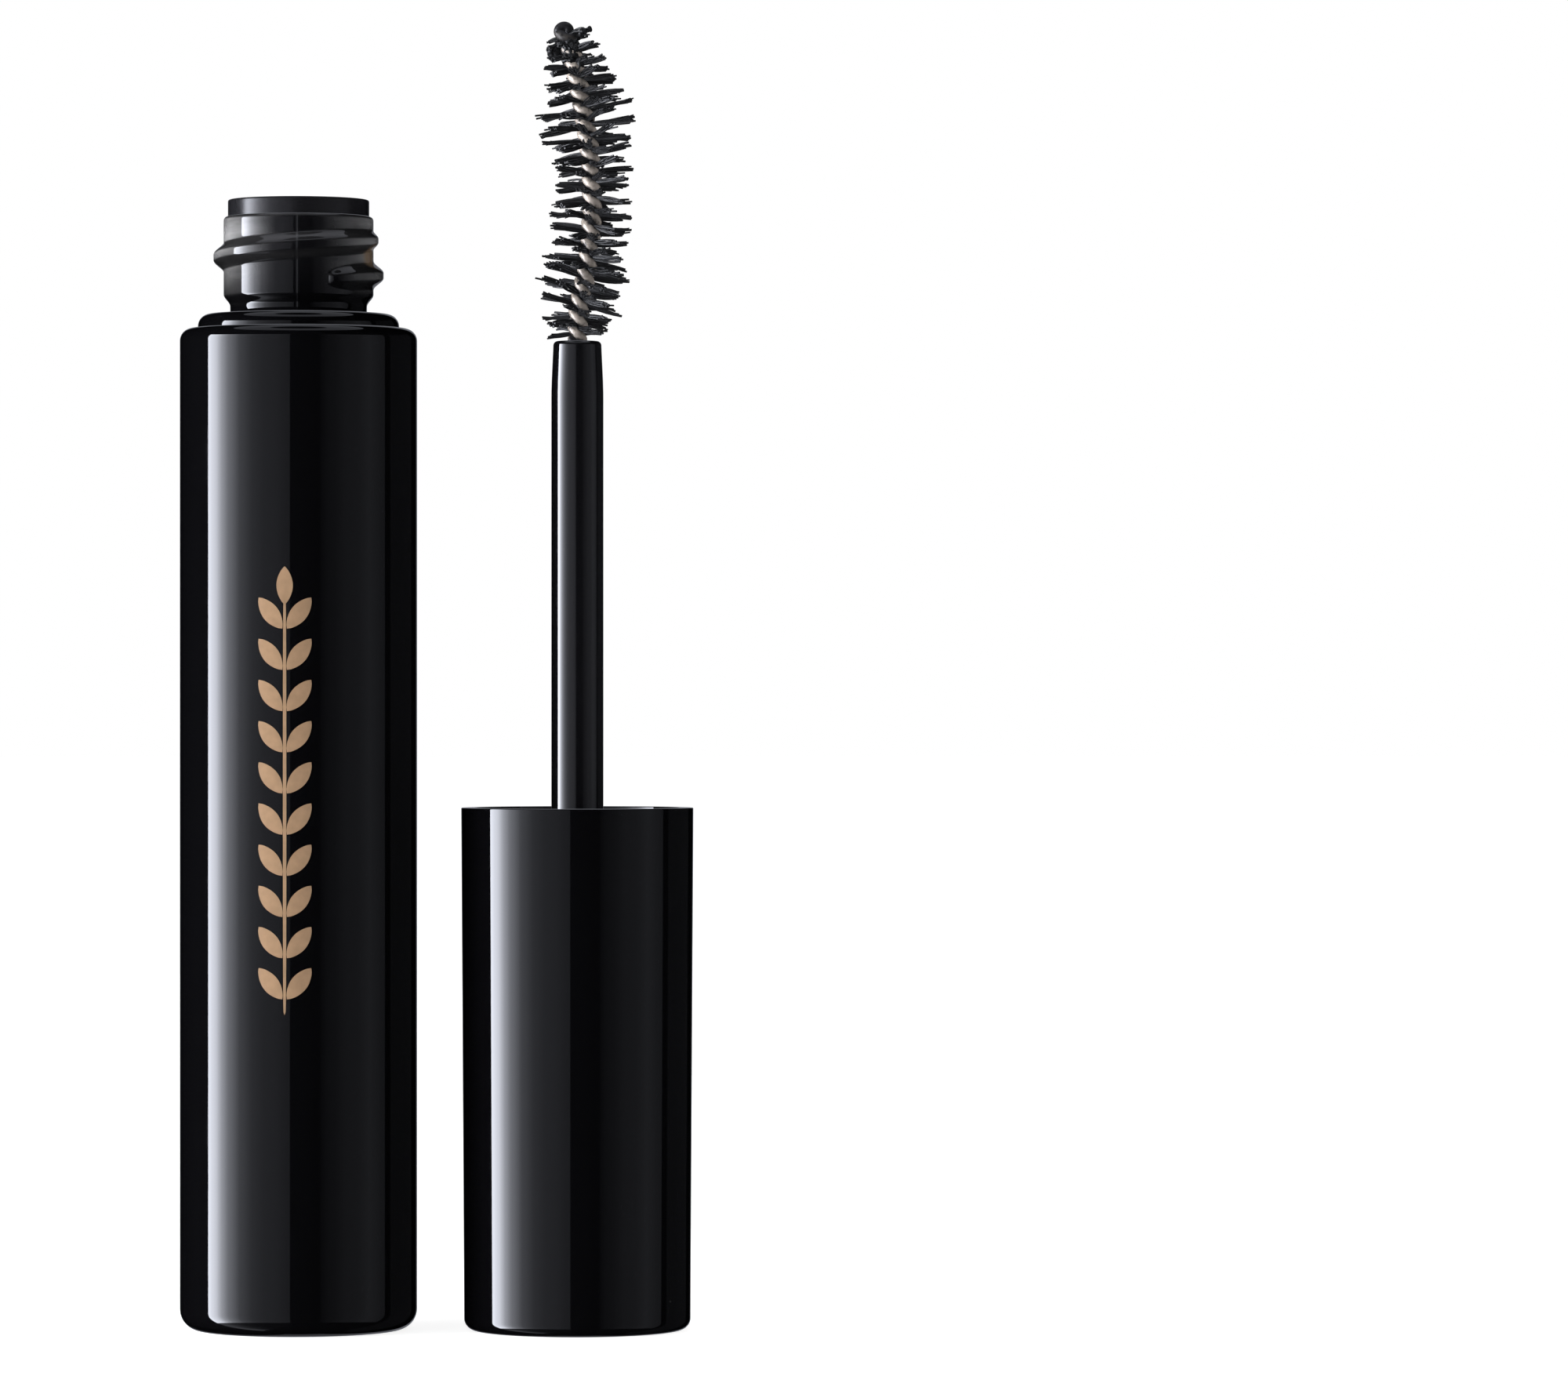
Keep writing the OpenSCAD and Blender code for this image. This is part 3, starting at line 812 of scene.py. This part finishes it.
stem_outline = (
    [(0, plug_z), (plug_r - fit, plug_z), (plug_r - fit, snap_z - 0.4), (plug_r + 0.17, snap_z - 0.2)]
    + [(plug_r + 0.17, snap_z + 0.2), (plug_r - fit, snap_z + 0.4), (plug_r - fit, floor_z - 0.05)]
    + [(plug_r - fit - 0.08, floor_z), (stem_r + 0.02, floor_z), (stem_r, floor_z + 0.1)]
    + [(stem_r, stem_z - 4.4), (stem_r - 0.004, stem_z - 3.9), (stem_r - 0.03, stem_z - 3.0)]
    + [(tip_r, stem_z - tip_round - 0.08)]
    + arc(tip_r - tip_round, stem_z - tip_round, tip_round, 0, 90, 8)
    + [(1.2, stem_z), (0, stem_z)])
rod_plastic, tree, shader = start_material("rod_plastic", IOR=1.7)
moulded(tree, shader, (0.003, 0.003, 0.0036, 1), 0.07, 0.05, 300, 0.003, 0.3)
stem_mesh = turned("applicator_rod", stem_outline, even_columns(128), cap_x)
fit_piece("applicator_rod", stem_mesh, rod_plastic, "applicator", "rod_plastic", "stem")


# ---- Twisted wire --------------------
# One length of steel wire, folded in half and twisted left-handed round the bristles. The fold
# stays at the tip as a small loop. Mascara fills the grooves and coats the loop.
brush_len = 24.5
# height as a share of the brush, sideways bend, reach of the bristles as a share of the widest
brush_shape = [(0, 0, 0.5), (0.10, 0.12, 0.86), (0.20, 0.6, 0.95), (0.30, 0.95, 0.85),
               (0.43, 1.13, 0.82), (0.56, 1.03, 0.89), (0.70, 0.57, 1), (0.80, 0.12, 0.81),
               (0.90, -0.4, 0.6), (0.95, -0.85, 0.45), (1, -1.27, 0.3)]
widest_reach = 3.75
twist_pitch = 2.3
strand_r = 0.39
strand_off = 0.4
loop_rise = 0.74
loop_steps = 16
spine_steps = 480
fine_steps = 4000


def along(table, share):
    """Smooth curve through the rows of a table, at a share from 0 to 1."""
    place = share * (len(table) - 1)
    i = min(int(place), len(table) - 2)
    t = place - i
    a, b, c, d = [Vector(table[max(0, min(len(table) - 1, i + k))]) for k in (-1, 0, 1, 2)]
    return 0.5 * (2 * b + (c - a) * t + (2 * a - 5 * b + 4 * c - d) * t ** 2
                  + (3 * b - a - 3 * c + d) * t ** 3)


fine = [along(brush_shape, k / fine_steps) for k in range(fine_steps + 1)]
fine = [(Vector((cap_x + q[1], 0, stem_z + brush_len * q[0])), q[2] * widest_reach) for q in fine]
travel = [0.0]
for (here, _), (there, _) in zip(fine, fine[1:]):
    travel.append(travel[-1] + (there - here).length)
spine_len = travel[-1]
spine = []
reaches = []
k = 0
for step in range(spine_steps + 1):
    goal = spine_len * step / spine_steps
    while k < len(travel) - 1 and travel[k] < goal:
        k += 1
    spine.append(fine[k][0])
    reaches.append(fine[k][1])

loop_foot = round(spine_steps * (1 - loop_rise / spine_len))


def side_at(k):
    """Unit vectors along the spine and square to it in the plane of its bend."""
    ahead = (spine[min(k + 3, spine_steps)] - spine[max(k - 3, 0)]).normalized()
    return ahead, Vector((ahead.z, 0, -ahead.x))


def twist_at(k):
    return -2 * math.pi * (k - loop_foot) / spine_steps * spine_len / twist_pitch


def strand_point(k, opposite):
    ahead, side = side_at(k)
    turn = twist_at(k) + math.pi * opposite
    return spine[k] + strand_off * (math.cos(turn) * side + math.sin(turn) * Vector((0, 1, 0)))


ahead, side = side_at(loop_foot)
sunk = Vector((cap_x, 0, stem_z - 0.8))
wire_path = [strand_point(k, 0) for k in range(0, loop_foot, 2)]
for j in range(loop_steps + 1):
    turn = math.pi * j / loop_steps
    level_point = spine[loop_foot] + strand_off * math.cos(turn) * side
    wire_path.append(level_point + (loop_rise - strand_r) * math.sin(turn) * ahead)
wire_path += [strand_point(k, 1) for k in range(loop_foot - 2, -1, -2)]
wire_path = [sunk + Vector((strand_off, 0, 0))] + wire_path + [sunk - Vector((strand_off, 0, 0))]


def swept(name, path, radius, sides):
    """Round wire along a path of points in millimetres, with closed ends and a value named crown
    that grows with the distance from the middle of the twist."""
    made = bmesh.new()
    crowns = made.verts.layers.float.new("crown")
    rings = []
    across = None
    for k, point in enumerate(path):
        ahead = (path[min(k + 1, len(path) - 1)] - path[max(k - 1, 0)]).normalized()
        across = ahead.orthogonal() if across is None else across - across.dot(ahead) * ahead
        across.normalize()
        other = ahead.cross(across)
        middle = min(spine, key=lambda q: (q - point).length_squared)
        ring = []
        for j in range(sides):
            turn = 2 * math.pi * j / sides
            out = point + radius * (math.cos(turn) * across + math.sin(turn) * other)
            vert = made.verts.new(out * mm)
            vert[crowns] = (out - middle).length / (strand_off + strand_r)
            ring.append(vert)
        rings.append(ring)
    for low, high in zip(rings, rings[1:]):
        for j in range(sides):
            n = (j + 1) % sides
            made.faces.new((low[j], low[n], high[n], high[j]))
    made.faces.new(list(reversed(rings[0])))
    made.faces.new(rings[-1])
    mesh = as_mesh(name, made)
    mesh.shade_smooth()
    return mesh


wire_steel, tree, shader = start_material("wire_steel", IOR=1.5)
place = place_of(tree)
crown = add(tree, "ShaderNodeAttribute", attribute_name="crown")
blots = noise(tree, place, 2600, 5)
uneven = calc(tree, "MULTIPLY_ADD", blots, 0.5, crown.outputs["Fac"])
bare = ramp(tree, uneven, 1.06, 1.3, 0, 1, "SMOOTHSTEP")
coated_z = (stem_z + 0.9 * brush_len) * mm
clean = ramp(tree, axes(tree, place)["Z"], coated_z, coated_z + 1.0 * mm, 1, 0.05)
metal = times(tree, bare, clean)
tone = mix_colour(tree, metal, (0.006, 0.006, 0.007, 1), (0.43, 0.38, 0.34, 1))
feed(tree, shader, Metallic=times(tree, metal, 0.55), Base_Color=tone,
     Roughness=ramp(tree, blots, 0.3, 0.7, 0.3, 0.5))
raise_surface(tree, shader, blots, 0.02, 0.5)
wire_mesh = swept("twisted_wire", wire_path, strand_r, 16)
fit_piece("twisted_wire", wire_mesh, wire_steel, "applicator", "wire_steel", "brush_wire")


# ---- Bristles ------------------------
# Short nylon fibres caught between the two strands, so they stand in a double spiral. Mascara
# gathers them in clumps: each fibre leans its tip towards the middle of its clump.
fibre_r = 0.068
fibre_count = 1700
fibre_bow = 6.0
first_share = 0.018
last_share = 0.955
rows_of_fibres = spine_len * last_share / (twist_pitch / 2)
clumps_per_row = 4.2
brush_seed = 4

centre_line = bpy.data.meshes.new("centre_line")
centre_line.from_pydata([point * mm for point in spine], [(k, k + 1) for k in range(spine_steps)], [])
reach_values = centre_line.attributes.new("reach", "FLOAT", "POINT")
for item, value in zip(reach_values.data, reaches):
    item.value = value * mm

brush_inputs = [
    ("Count", "Int", 100), ("Clumps", "Float", 40.0), ("First", "Float", 0.0), ("Last", "Float", 1.0),
    ("Twist", "Float", 10.0), ("Phase", "Float", 0.0), ("Gather", "Float", 0.7),
    ("Root Gather", "Float", 0.3), ("Root", "Float", 0.0004), ("Thickness", "Float", 0.00006),
    ("Stray", "Float", 0.1), ("Seed", "Int", 1), ("Finish", "Material", None)]


def lengthen(tree, arrow, by):
    return add(tree, "ShaderNodeVectorMath", {0: arrow, "Scale": by}, operation="SCALE").outputs[0]


def chance(tree, low, high, seed, shift=0, which=None):
    """Random number for each point, or for each value of which."""
    values = {2: low, 3: high, 8: plus(tree, seed, shift) if shift else seed}
    if which is not None:
        values["ID"] = which
    return add(tree, "FunctionNodeRandomValue", values, data_type="FLOAT").outputs[1]


def sample_spine(tree, curve, share):
    """Place, direction and bristle reach at a share of the way up the brush."""
    reach = add(tree, "GeometryNodeInputNamedAttribute", {"Name": "reach"}, data_type="FLOAT").outputs[0]
    made = add(tree, "GeometryNodeSampleCurve", {"Curves": curve, "Factor": share, 1: reach}, mode="FACTOR")
    return made.outputs["Position"], made.outputs["Tangent"], made.outputs[0]


def brush_points(tree, given):
    """Root and tip of every fibre, as fields on a row of points."""
    seed = given["Seed"]
    clumps = given["Clumps"]
    curve = add(tree, "GeometryNodeMeshToCurve", {"Mesh": given["Geometry"]}).outputs[0]
    points = add(tree, "GeometryNodePoints", {"Count": given["Count"]}).outputs[0]
    order = add(tree, "GeometryNodeInputIndex").outputs[0]
    arm = calc(tree, "MODULO", order, 2.0)
    share = calc(tree, "DIVIDE", plus(tree, order, chance(tree, 0.0, 2.0, seed)), given["Count"])
    half_arm = times(tree, arm, 0.5)
    clump = calc(tree, "FLOOR", plus(tree, times(tree, share, clumps), half_arm))
    which = plus(tree, clump, times(tree, arm, 5000.0))
    jolt = chance(tree, -0.35, 0.35, seed, 7, which)
    middle = plus(tree, plus(tree, clump, 0.5), calc(tree, "SUBTRACT", jolt, half_arm))
    aside = calc(tree, "SUBTRACT", calc(tree, "DIVIDE", middle, clumps), share)
    leaned = calc(tree, "MULTIPLY_ADD", aside, given["Gather"], share)
    rooted = calc(tree, "MULTIPLY_ADD", aside, given["Root Gather"], share)
    span = calc(tree, "SUBTRACT", given["Last"], given["First"])
    own = calc(tree, "MULTIPLY_ADD", rooted, span, given["First"])
    tip = calc(tree, "MULTIPLY_ADD", leaned, span, given["First"])
    turned_by = times(tree, tip, times(tree, given["Twist"], 2 * math.pi))
    turn = calc(tree, "SUBTRACT", given["Phase"], turned_by)
    turn = plus(tree, turn, times(tree, arm, math.pi))
    turn = plus(tree, turn, times(tree, chance(tree, -1.0, 1.0, seed, 3), given["Stray"]))
    foot, _, _ = sample_spine(tree, curve, own)
    goal, ahead, reach = sample_spine(tree, curve, tip)
    parts = axes(tree, ahead)
    side = vector(tree, parts["Z"], z=times(tree, parts["X"], -1.0))
    out = vector_calc(tree, "ADD", lengthen(tree, side, calc(tree, "COSINE", turn)),
                      vector(tree, y=calc(tree, "SINE", turn)))
    cut = times(tree, chance(tree, 0.84, 1.04, seed, 5), chance(tree, 0.87, 1.08, seed, 9, which))
    slant = plus(tree, chance(tree, -0.4 * mm, 0.4 * mm, seed, 11, which),
                 chance(tree, -0.18 * mm, 0.18 * mm, seed, 12))
    root = vector_calc(tree, "ADD", foot, lengthen(tree, out, given["Root"]))
    end = vector_calc(tree, "ADD", goal, lengthen(tree, out, times(tree, reach, cut)))
    end = vector_calc(tree, "ADD", end, lengthen(tree, ahead, slant))
    return points, root, vector_calc(tree, "SUBTRACT", end, root)


def pointed(tree, arrow):
    return add(tree, "FunctionNodeAlignRotationToVector", {"Vector": arrow}, axis="Z").outputs[0]


bristle_tree, given = new_growth("spiral_bristles", brush_inputs)
tree = bristle_tree
seed = given["Seed"]
points, root, shaft = brush_points(tree, given)
long = vector_calc(tree, "LENGTH", shaft, output=1)
roll = about_z(tree, chance(tree, 0.0, 6.28, seed, 13))
facing = add(tree, "FunctionNodeRotateRotation", {"Rotation": pointed(tree, shaft), "Rotate By": roll},
             rotation_space="LOCAL").outputs[0]
straight = add(tree, "GeometryNodeCurvePrimitiveLine", {"Start": (0, 0, 0), "End": (0, 0, 1)}).outputs[0]
parted = add(tree, "GeometryNodeResampleCurve", {"Curve": straight, "Count": 6}).outputs[0]
rim = add(tree, "GeometryNodeCurvePrimitiveCircle", {"Resolution": 6, "Radius": 1.0}).outputs[0]
taper = ramp(tree, add(tree, "GeometryNodeSplineParameter").outputs[0], 0, 1, 1.15, 1.0)
even = add(tree, "GeometryNodeCurveToMesh", {"Curve": parted, "Profile Curve": rim, "Fill Caps": True,
                                            "Scale": taper}).outputs[0]
rise = axes(tree, add(tree, "GeometryNodeInputPosition").outputs[0])["Z"]
bulge = times(tree, times(tree, rise, calc(tree, "SUBTRACT", 1.0, rise)), fibre_bow)
fibre = moved(tree, even, Offset=vector(tree, bulge))
thick = times(tree, given["Thickness"], chance(tree, 0.85, 1.35, seed, 17))
tufts = instances(tree, moved(tree, points, Position=root), fibre, Rotation=facing,
                  Scale=vector(tree, thick, thick, long))
smooth = add(tree, "GeometryNodeSetShadeSmooth", {"Geometry": tufts})
end_growth(tree, smooth.outputs[0], given["Finish"])

bristle_fibre = wet_black("bristle_fibre", 1500, 0.03, 5, (0.28, 0.6), (0.013, 0.0135, 0.0145, 1), 0.7, 1.5)
brush_values = {
    "First": first_share, "Last": last_share, "Twist": spine_len / twist_pitch,
    "Phase": 2 * math.pi * loop_foot / spine_steps * spine_len / twist_pitch + math.pi / 2,
    "Clumps": clumps_per_row * rows_of_fibres, "Root": 0.3 * mm, "Seed": brush_seed}
bristle_mesh = grow("brush_bristles", bristle_tree, {
    **brush_values, "Root Gather": 0.55, "Count": fibre_count, "Gather": 0.68,
    "Thickness": fibre_r * mm, "Stray": 0.11, "Finish": bristle_fibre}, centre_line)
fit_piece("brush_bristles", bristle_mesh, bristle_fibre, "applicator", "bristle_fibre", "bristles")


# ---- Mascara on the brush ------------
# Paste picked up from the bottle: it webs the roots of the clumps together and hangs between the
# fibres in small lumps, and a heavier cap of it sits round the foot of the loop at the tip.
paste_count = 420
paste_r = 0.085

paste_tree, given = new_growth("paste_between_bristles", brush_inputs)
tree = paste_tree
seed = given["Seed"]
points, root, shaft = brush_points(tree, given)
spot = vector_calc(tree, "ADD", root, lengthen(tree, shaft, chance(tree, 0.08, 0.62, seed, 21)))
lump = add(tree, "GeometryNodeMeshIcoSphere", {"Radius": 1.0, "Subdivisions": 2}).outputs[0]
bulk = times(tree, given["Thickness"], chance(tree, 0.6, 1.5, seed, 23))
stretch = times(tree, bulk, chance(tree, 1.6, 5.0, seed, 25))
drops = instances(tree, moved(tree, points, Position=spot), lump, Rotation=pointed(tree, shaft),
                  Scale=vector(tree, bulk, bulk, stretch))
ripple = add(tree, "ShaderNodeTexNoise", {"Scale": 3200, "Detail": 2})
shift = vector_calc(tree, "SUBTRACT", ripple.outputs["Color"], (0.5, 0.5, 0.5))
rough = moved(tree, realized(tree, drops),
              Offset=lengthen(tree, shift, times(tree, given["Thickness"], 2.2)))
smooth = add(tree, "GeometryNodeSetShadeSmooth", {"Geometry": rough})
end_growth(tree, smooth.outputs[0], given["Finish"])

brush_paste = wet_black("brush_paste", 1900, 0.05)
paste_mesh = grow("brush_paste", paste_tree, {
    **brush_values, "Root Gather": 0.6, "Count": paste_count, "Gather": 0.85,
    "Thickness": paste_r * mm, "Stray": 0.08, "Finish": brush_paste}, centre_line)
fit_piece("brush_paste", paste_mesh, brush_paste, "applicator", "mascara_paste", "bristles")

# share of the brush, sideways and forwards places, and size of each lump at the tip
tip_lumps = [(0.93, 0, -0.1, 0.72), (0.915, 0.1, -0.1, 0.78), (0.9, 0, 0.1, 0.8),
             (0.885, -0.1, -0.1, 0.76), (0.87, -0.3, 0.25, 0.6), (0.925, -0.75, 0, 0.42),
             (0.925, -1.1, 0, 0.46), (0.93, -1.45, 0, 0.42), (0.945, 0.7, 0.05, 0.38),
             (0.945, 1.1, 0.05, 0.34), (0.947, 1.5, 0, 0.3), (0.95, 1.9, 0, 0.25),
             (0.86, 0.4, -0.4, 0.36), (0.968, 0, 0.1, 0.4)]
made = bmesh.new()
for share, aside, fore, radius in tip_lumps:
    k = round(share * spine_steps)
    ahead, side = side_at(k)
    middle = spine[k] + aside * side + Vector((0, fore, 0))
    lump = bmesh.ops.create_icosphere(made, subdivisions=3, radius=radius * mm)["verts"]
    bmesh.ops.translate(made, verts=lump, vec=middle * mm)
holder = bpy.data.objects.new("tip_paste", as_mesh("tip_paste", made))
scene.collection.objects.link(holder)
merge = holder.modifiers.new("merge", "REMESH")
merge.mode = "VOXEL"
merge.voxel_size = 0.07 * mm
relax = holder.modifiers.new("relax", "SMOOTH")
relax.iterations = 4
clots = bpy.data.textures.new("clots", "CLOUDS")
clots.noise_scale = 0.4 * mm
push = holder.modifiers.new("push", "DISPLACE")
push.texture = clots
push.texture_coords = "LOCAL"
push.strength = 0.38 * mm
mesh = bpy.data.meshes.new_from_object(holder.evaluated_get(bpy.context.evaluated_depsgraph_get()))
bpy.data.objects.remove(holder)
mesh.shade_smooth()
fit_piece("tip_paste", mesh, brush_paste, "applicator", "mascara_paste", "bristles")
